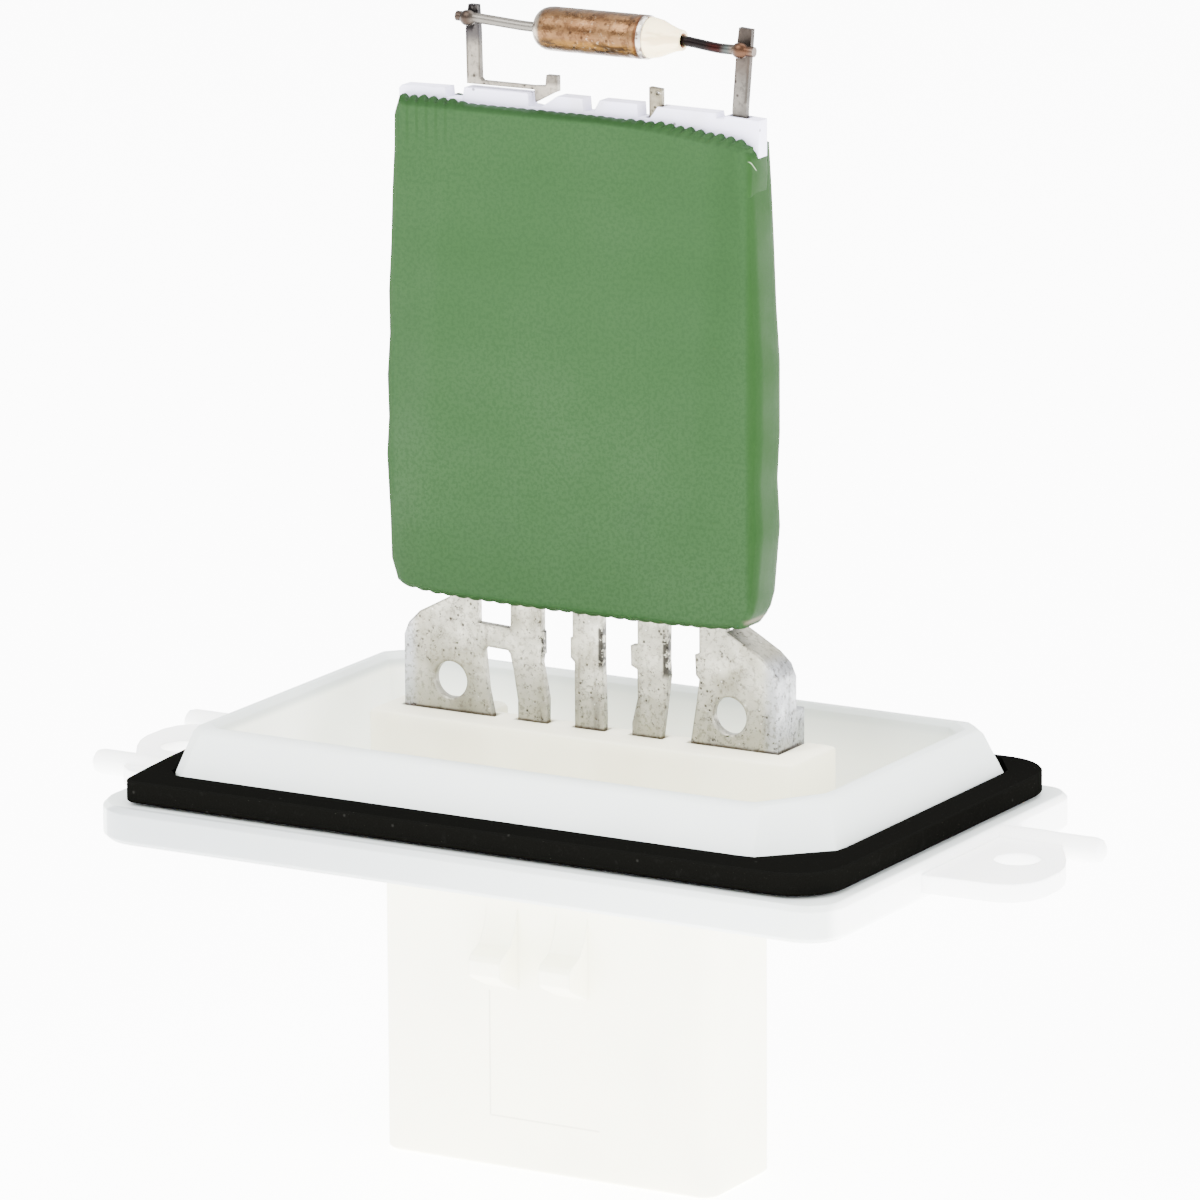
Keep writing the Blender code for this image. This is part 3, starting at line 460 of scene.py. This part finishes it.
# %% Green silicone
def green_silicone():
    wave = 0.0074
    upper_shade = (0.060, 0.088)
    f = Finish("green_silicone", tone(34, 56, 31), 0.6)
    f.shader.inputs["Specular IOR Level"].default_value = 0.03
    f.paint(f.ramp(f.cloud(0.010, 3.0), 0.38, 0.7), tone(40, 61, 37), 0.6)
    f.paint(f.ramp(f.cloud(0.0025, 4.0, 0.6), 0.5, 0.75), tone(33, 52, 31), 0.35)
    # The upper part of the coat is painted darker, as painted shade.
    f.paint(f.ramp(f.z, *upper_shade), tone(30, 53, 27), 0.55)
    f.paint(f.ramp(f.cloud(0.00018, 2.0, 0.6), 0.42, 0.62), tone(28, 49, 26), 0.5)
    face = f.both(f.inside(f.x, (jacket_low[0] + 0.0009, jacket_high[0] - 0.0010), 0.0005),
                  f.inside(f.z, (jacket_low[2] + 0.0008, jacket_high[2] - 0.0008), 0.0004))
    f.paint(f.maths("SUBTRACT", 1.0, face), tone(18, 43, 14), 0.6)
    # The right side of the coat is painted darker, as painted shade.
    right_side_shade = f.ramp(f.x, jacket_high[0] - 0.0014, jacket_high[0] - 0.0008)
    f.paint(right_side_shade, tone(26, 50, 20), 0.5)
    coat_marks(f)
    waves = f.maths("SINE", f.maths("MULTIPLY", f.z, 2 * math.pi / wave))
    f.relief(waves, 0.00004, 0.00025)
    f.relief(f.cloud(0.0007, 3.0), 0.000018)
    f.relief(f.cloud(0.00022, 2.0), 0.000006)
    return f.done(f.ramp(f.cloud(0.003, 3.0), 0.3, 0.7, 0.46, 0.6))


coat = green_silicone()
skin("silicone_jacket", "green_jacket", coat)

# %% [markdown]
# Where the coat runs over an end of the core's head it gathers into a soft drop. The drop is a
# flat outline that is extruded through the card and has all its edges bevelled, which leaves it
# round. It takes its places from the boxes of the jacket and the core, so it stays on them. The
# right drop goes from the front of the coat to the back of the core, and the left one from the
# front of the core to the back of the coat.

# %% The coat over the ends of the core's head
drop_outline_mm = (
    (2.6, 3.8), (2.6, 1.95), (1.7, 1.95), (0.95, 2.05), (0.35, 2.3), (0.0, 2.85), (-0.05, 4.6),
    (0.05, 6.4), (1.4, 6.8),
)
drop_bevel = 0.0003
drop_lap = 0.0002


def coat_corner(piece_name, side):
    """the outline holds millimetres in from the end of the core and down from the coat's top"""
    core_low, core_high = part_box("ceramic_core")
    if side > 0:
        end, near, far = core_high[0], jacket_low[1] + drop_lap, core_high[1] + drop_lap
    else:
        end, near, far = core_low[0], core_low[1] - drop_lap, jacket_high[1] - drop_lap
    shape = bmesh.new()
    corners = [shape.verts.new((end - side * inward / 1000, near, jacket_high[2] - down / 1000))
               for inward, down in drop_outline_mm]
    outline = shape.faces.new(corners)
    body = bmesh.ops.extrude_face_region(shape, geom=[outline])["geom"]
    moved = [v for v in body if isinstance(v, bmesh.types.BMVert)]
    bmesh.ops.translate(shape, verts=moved, vec=(0, far - near, 0))
    bmesh.ops.recalc_face_normals(shape, faces=shape.faces)
    bmesh.ops.bevel(shape, geom=shape.edges[:], offset=drop_bevel, segments=3, profile=0.5,
                    affect="EDGES", material=-1)
    for face in shape.faces:
        face.smooth = True
    piece = placed(shape, piece_name, coat)
    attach(piece, "root")


coat_corner("right_coat_corner", 1)
coat_corner("left_coat_corner", -1)

# %% [markdown]
# Unglazed ceramic is dry and even, with a few specks from the kiln. The wire lies under the coat
# and hardly shows, so each winding is one sleeve whose turns are a wave in the relief.


# %% White ceramic and the wire under the coat
def white_ceramic():
    f = Finish("white_ceramic", tone(212, 210, 232), 0.75)
    f.paint(f.ramp(f.cloud(0.003, 4.0), 0.45, 0.7), tone(196, 192, 200), 0.6)
    f.paint(f.dots(0.0019, 0.0002), tone(70, 64, 60), 0.75)
    f.relief(f.cloud(0.0002, 3.0), 0.00002, 0.0002)
    return f.done()


def wound_wire():
    wire_pitch = 0.001
    f = Finish("wound_wire", tone(104, 101, 92), 0.4, 1.0)
    turns = f.maths("SINE", f.maths("MULTIPLY", f.z, 2 * math.pi / wire_pitch))
    # The grooves between the turns are painted dark, as painted shade.
    f.paint(f.ramp(turns, -1.0, 0.2, 1.0, 0.0), tone(30, 27, 24), 0.8)
    f.relief(turns, 0.0001)
    return f.done()


skin("ceramic_core", "card_core", white_ceramic())
coil = wound_wire()
for place in ("lower", "middle", "upper"):
    skin(place + "_winding", place + "_coil", coil)

# %% [markdown]
# Welding heats the two posts and the leads, and heat leaves colour: straw, copper red, blue,
# then black scale at the tips. Masks by height and by length lay those colours in order over the
# same tin. The posts are cut from sheet, and each is painted darker along both of its edges.

# %% Heat-coloured posts
post_foot = (0.1008, 0.1012)
post_edge = (0.00044, 0.00062)
line_height = 0.1010


def heated_post(name, tint, middle, lean, glow, glow_tone, scale):
    """middle and lean give the x of the post's line at line_height and its lean, glow is the pair
    of heights where the heat colour starts and is full, scale how much black the tip has"""
    f = Finish(name, tone(*tint), 0.42, 1.0)
    f.paint(f.ramp(f.cloud(0.002, 4.0), 0.42, 0.68), tone(*[0.72 * v for v in tint]), 0.6)
    fine = f.ramp(f.cloud(0.00025, 3.0, 0.7), 0.5, 0.62)
    f.paint(fine, tone(*[0.62 * v for v in tint]), 0.6)
    f.paint(f.dots(0.0009, 0.0002), tone(22, 17, 15), 0.8)
    up = f.maths("SUBTRACT", f.z, line_height)
    off_line = f.maths("SUBTRACT", f.x, f.maths("MULTIPLY_ADD", up, lean, middle))
    edges = f.ramp(f.maths("ABSOLUTE", off_line), *post_edge)
    f.paint(f.both(edges, f.ramp(f.z, *post_foot)), tone(34, 30, 27), 0.6)
    f.paint(f.ramp(f.z, *glow), tone(*glow_tone), 0.85)
    tip = f.both(f.ramp(f.z, glow[1], glow[1] + 0.0006), f.ramp(f.cloud(0.0007), 0.40, 0.50))
    f.paint(tip, tone(10, 8, 9), scale)
    f.relief(f.cloud(0.0004, 4.0), 0.00003, 0.00012)
    return f.done(f.ramp(f.cloud(0.0015), 0.3, 0.7, 0.35, 0.6))


left_post = heated_post("left_post_metal", tint=(126, 120, 110), middle=-0.0113, lean=0.0,
                        glow=(0.1035, 0.1050), glow_tone=(40, 38, 41), scale=0.9)
right_post = heated_post("right_post_metal", tint=(94, 90, 85), middle=0.0163, lean=0.08,
                         glow=(0.1025, 0.1045), glow_tone=(58, 51, 46), scale=0.4)
skin("left_fuse_post", "left_post", left_post)
skin("right_fuse_post", "right_post", right_post)
dull_tab = tinned_sheet("dull_tab", (108, 102, 88))
skin("tap_tab", "tap_tab_plate", dull_tab)


# %% Leads burnt by the weld
def lead_finish(name, heat):
    """heat is a list of (x, half length, colour, amount), laid one over the other"""
    f = Finish(name, tone(88, 85, 80), 0.36, 1.0)
    f.paint(f.ramp(f.cloud(0.0012, 3.0, 0.6, (0.3, 1, 1)), 0.45, 0.65), tone(66, 60, 54), 0.6)
    for x, half, colour, amount in heat:
        f.paint(f.inside(f.x, (x - half, x + half), 0.0007), tone(*colour), amount)
    f.relief(f.cloud(0.0005, 3.0), 0.00002)
    return f.done()


brown_weld = (-0.0120, 0.0014, (35, 24, 18), 0.85)
black_scale = (0.0122, 0.0025, (9, 6, 7), 0.97)
dark_red = (0.0146, 0.0009, (28, 8, 7), 0.95)
blue_ring = (0.0157, 0.0003, (28, 46, 48), 0.85)
copper_weld = (0.0173, 0.0011, (56, 34, 20), 0.9)
cool_lead = lead_finish("cool_lead", [brown_weld])
burnt_lead = lead_finish("burnt_lead", [black_scale, dark_red, blue_ring, copper_weld])
skin("left_fuse_lead", "left_lead", cool_lead)
skin("right_fuse_lead", "right_lead", burnt_lead)

# %% [markdown]
# The fuse is a turned thing: a drawn copper can, rolled over at one end and closed with a bead of
# epoxy at the other. A turned thing is a profile carried round a line, which Spin does. The
# profile follows the ready solid's own box, and adds the fine groove and rolled lip.


# %% Turn a profile about the line of the fuse
def turned(piece_name, profile, middle, material, replaced):
    """profile is (x, radius) pairs from one end to the other, open towards the line"""
    shape = bmesh.new()
    line = [shape.verts.new((x, middle[1], middle[2] + radius)) for x, radius in profile]
    edges = [shape.edges.new(pair) for pair in zip(line, line[1:])]
    bmesh.ops.spin(shape, geom=line + edges, cent=Vector(middle), axis=Vector((1, 0, 0)),
                   angle=2 * math.pi, steps=72, use_merge=True)
    bmesh.ops.remove_doubles(shape, verts=shape.verts, dist=1e-6)
    open_ends = [edge for edge in shape.edges if edge.is_boundary]
    bmesh.ops.holes_fill(shape, edges=open_ends, sides=0)
    bmesh.ops.recalc_face_normals(shape, faces=shape.faces)
    for face in shape.faces:
        face.smooth = len(face.verts) < 5
    mark_corners(shape, 40)
    piece = placed(shape, piece_name, material)
    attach(piece, "root")
    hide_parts(replaced)
    return piece


# %% [markdown]
# Old copper is three things at once: a warm metal, a brown film in clouds, and small scuffs, some
# bright and some dark. A golden band with dark broken marks runs along the bottom. The rolled end
# on the left is rubbed back to pale metal, and the rolled lip on the right is painted pale, as
# rubbed metal with a painted highlight on it. The epoxy is cream, with streaks from the way it was
# poured.

# %% Marks on the can
can_low, can_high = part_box("fuse_can")
can_start = can_low[0]
can_end = can_high[0]


def can_bottom(f):
    """a golden band with dark scratches along the lowest part of the can"""
    band = f.inside(f.z, (can_low[2] + 0.0003, can_low[2] + 0.0014), 0.0003)
    f.paint(band, tone(84, 58, 18), 0.8)
    scratched = f.ramp(f.cloud(0.00045, 3.0, 0.6, (0.3, 1.0, 1.0)), 0.47, 0.56)
    f.paint(f.both(band, scratched), tone(26, 18, 12), 0.85)


def can_ends(f):
    """a dark line before the rolled lip, pale spotted metal with a painted highlight on the lip,
    and pale spotted metal on the far end
    """
    f.paint(f.inside(f.x, (can_end - 0.0003, can_end), 0.0001), tone(48, 24, 16), 0.6)
    # The lip is painted pale, as rubbed metal with a painted highlight on it.
    on_lip = f.ramp(f.x, can_end - 0.00005, can_end + 0.00005)
    f.paint(on_lip, tone(176, 170, 162), 0.9)
    brown_spots = f.both(on_lip, f.ramp(f.cloud(0.0004, 3.0, 0.7), 0.5, 0.58))
    f.paint(brown_spots, tone(60, 34, 22), 0.8)
    f.paint(f.ramp(f.x, can_start + 0.0011, can_start + 0.0005), tone(146, 138, 126), 0.8)
    spots = f.both(f.ramp(f.x, can_start + 0.0012, can_start + 0.0007),
                   f.ramp(f.cloud(0.0004, 3.0, 0.7), 0.5, 0.6))
    f.paint(spots, tone(44, 34, 28), 0.75)


# %% Scuffed copper and cream epoxy
def scuffed_copper():
    f = Finish("scuffed_copper", tone(90, 66, 43), 0.34, 1.0)
    f.paint(f.ramp(f.cloud(0.0018, 4.0, 0.6), 0.42, 0.66), tone(74, 50, 31), 0.7)
    f.paint(f.ramp(f.cloud(0.00028, 3.0, 0.7), 0.46, 0.6), tone(50, 33, 22), 0.6)
    can_bottom(f)
    scuffs = f.ramp(f.cloud(0.00026, 4.0, 0.75), 0.57, 0.65)
    thick = f.ramp(f.cloud(0.0026, 2.0), 0.4, 0.62)
    f.paint(f.both(scuffs, thick), tone(130, 114, 94), 0.55)
    f.paint(f.dots(0.0009, 0.00020), tone(24, 15, 10), 0.7)
    can_ends(f)
    f.relief(f.cloud(0.00035, 4.0, 0.7), 0.00006)
    return f.done(f.ramp(f.cloud(0.0008, 4.0), 0.3, 0.7, 0.22, 0.5))


def cream_epoxy():
    f = Finish("cream_epoxy", tone(232, 214, 170), 0.42)
    f.shader.inputs["Subsurface Weight"].default_value = 0.15
    f.shader.inputs["Subsurface Scale"].default_value = 0.001
    streaks = f.ramp(f.cloud(0.0010, 3.0, 0.6, (0.25, 1.0, 1.0)), 0.5, 0.62)
    f.paint(streaks, tone(176, 150, 104), 0.55)
    f.relief(f.cloud(0.0006, 3.0), 0.00003)
    return f.done()


# %% The can and its bead
can_middle = [(low + high) / 2 for low, high in zip(can_low, can_high)]
can_r = (can_high[2] - can_low[2]) / 2
wall_r = 0.998 * can_r
groove_r = 0.975 * can_r
wire_hole_r = 0.00078
lip = 0.00045
rolled_end = [
    (can_start + 0.0004, wire_hole_r), (can_start + 0.00005, 0.0009), (can_start, 0.62 * can_r),
    (can_start + 0.0001, 0.72 * can_r), (can_start + 0.0003, 0.82 * can_r),
    (can_start + 0.0006, 0.91 * can_r), (can_start + 0.0010, 0.972 * can_r),
]
wall = [
    (can_start + 0.0015, wall_r), (can_end - 0.0012, wall_r), (can_end - 0.0010, groove_r),
    (can_end - 0.0008, wall_r), (can_end - 0.0003, wall_r), (can_end - 0.0002, groove_r),
    (can_end, wall_r),
]
rolled_lip = [
    (can_end + 0.6 * lip, 0.99 * can_r), (can_end + lip, 0.955 * can_r), (can_end + lip, 0.9 * can_r),
]
can = turned("fuse_case", rolled_end + wall + rolled_lip, can_middle, scuffed_copper(), "fuse_can")
skin("fuse_seal", "epoxy_bead", cream_epoxy(), 50.0)
print("the can is", round(2 * can_r * 1000, 2), "mm across")

# %% [markdown]
# The part stands on a wide pale floor, which also is all that the camera sees behind it. Paper in
# a studio is lit until it is whiter than anything on it. Lamps strong enough for that would wash
# out the part, so the floor gives off some light of its own.

# %% Floor
floor_half = 4.0
floor_drop = 0.00005
floor_glow = 7.0
floor_shape = bmesh.new()
bmesh.ops.create_grid(floor_shape, x_segments=1, y_segments=1, size=floor_half)
floor_z = cad_box[0][2] - floor_drop
bmesh.ops.translate(floor_shape, verts=floor_shape.verts, vec=(0, 0, floor_z))
pale = Finish("pale_floor", tone(250, 250, 250), 0.9)
pale.paint(pale.cloud(0.4), tone(247, 247, 247), 0.5)
pale.shader.inputs["Emission Color"].default_value = (1, 1, 1, 1)
pale.shader.inputs["Emission Strength"].default_value = floor_glow
floor = placed(floor_shape, "floor", pale.done())
floor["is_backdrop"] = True

# %% [markdown]
# Soft light comes from large sources: a white world all round, and three square lamps of about a
# metre. The key lamp is to the left in front, one hangs above, and one on the right opens the
# narrow side of the card. All of them look at the middle of the part.

# %% Light
lit_point = Vector((0, 0, 0.05))


def soft_lamp(name, place, size, watts):
    lamp = bpy.data.lights.new(name, "AREA")
    lamp.size = size
    lamp.energy = watts
    item = bpy.data.objects.new(name, lamp)
    item.location = place
    aim = lit_point - Vector(place)
    item.rotation_euler = aim.to_track_quat("-Z", "Y").to_euler()
    bpy.context.scene.collection.objects.link(item)
    print("lamp", name, watts, "W")


world = bpy.data.worlds.new("studio")
world.use_nodes = True
sky = world.node_tree.nodes["Background"]
sky.inputs["Color"].default_value = (1, 1, 1, 1)
sky.inputs["Strength"].default_value = 2.4
bpy.context.scene.world = world
soft_lamp("key_lamp", (-0.5, -0.9, 1.1), 0.9, 42.0)
soft_lamp("top_lamp", (0.2, 0.3, 1.3), 1.2, 36.0)
soft_lamp("right_lamp", (1.3, -0.4, 0.6), 0.9, 36.0)

# %% [markdown]
# The camera stands where the photographer stood: a little above the part, to the right of the
# card, and far away behind a long lens, so that upright lines stay nearly upright. Its turn is
# written as the directions of its own right, up and back.

# %% Camera
lens = bpy.data.cameras.new("camera")
lens.sensor_width = 36.0
lens.lens = 273.563
lens.clip_start = 0.01
camera = bpy.data.objects.new("camera", lens)
right = Vector((0.86703512, 0.4982175, -0.0054238))
up = Vector((-0.11033659, 0.20260866, 0.97302393))
back = Vector((0.48587646, -0.84304748, 0.23064045))
stand = Vector((0.4065727, -0.7010585, 0.2458463))
camera.matrix_world = Matrix((
    (right.x, up.x, back.x, stand.x), (right.y, up.y, back.y, stand.y),
    (right.z, up.z, back.z, stand.z), (0, 0, 0, 1)))
bpy.context.scene.collection.objects.link(camera)
bpy.context.scene.camera = camera
print("camera distance", round(camera.matrix_world.translation.length, 3))

# %% Measure and finish
end_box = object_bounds()
grown = [[round((v - c) * 1000, 3) for v, c in zip(p, q)] for p, q in zip(end_box, cad_box)]
print("grown by, in millimetres:", grown)
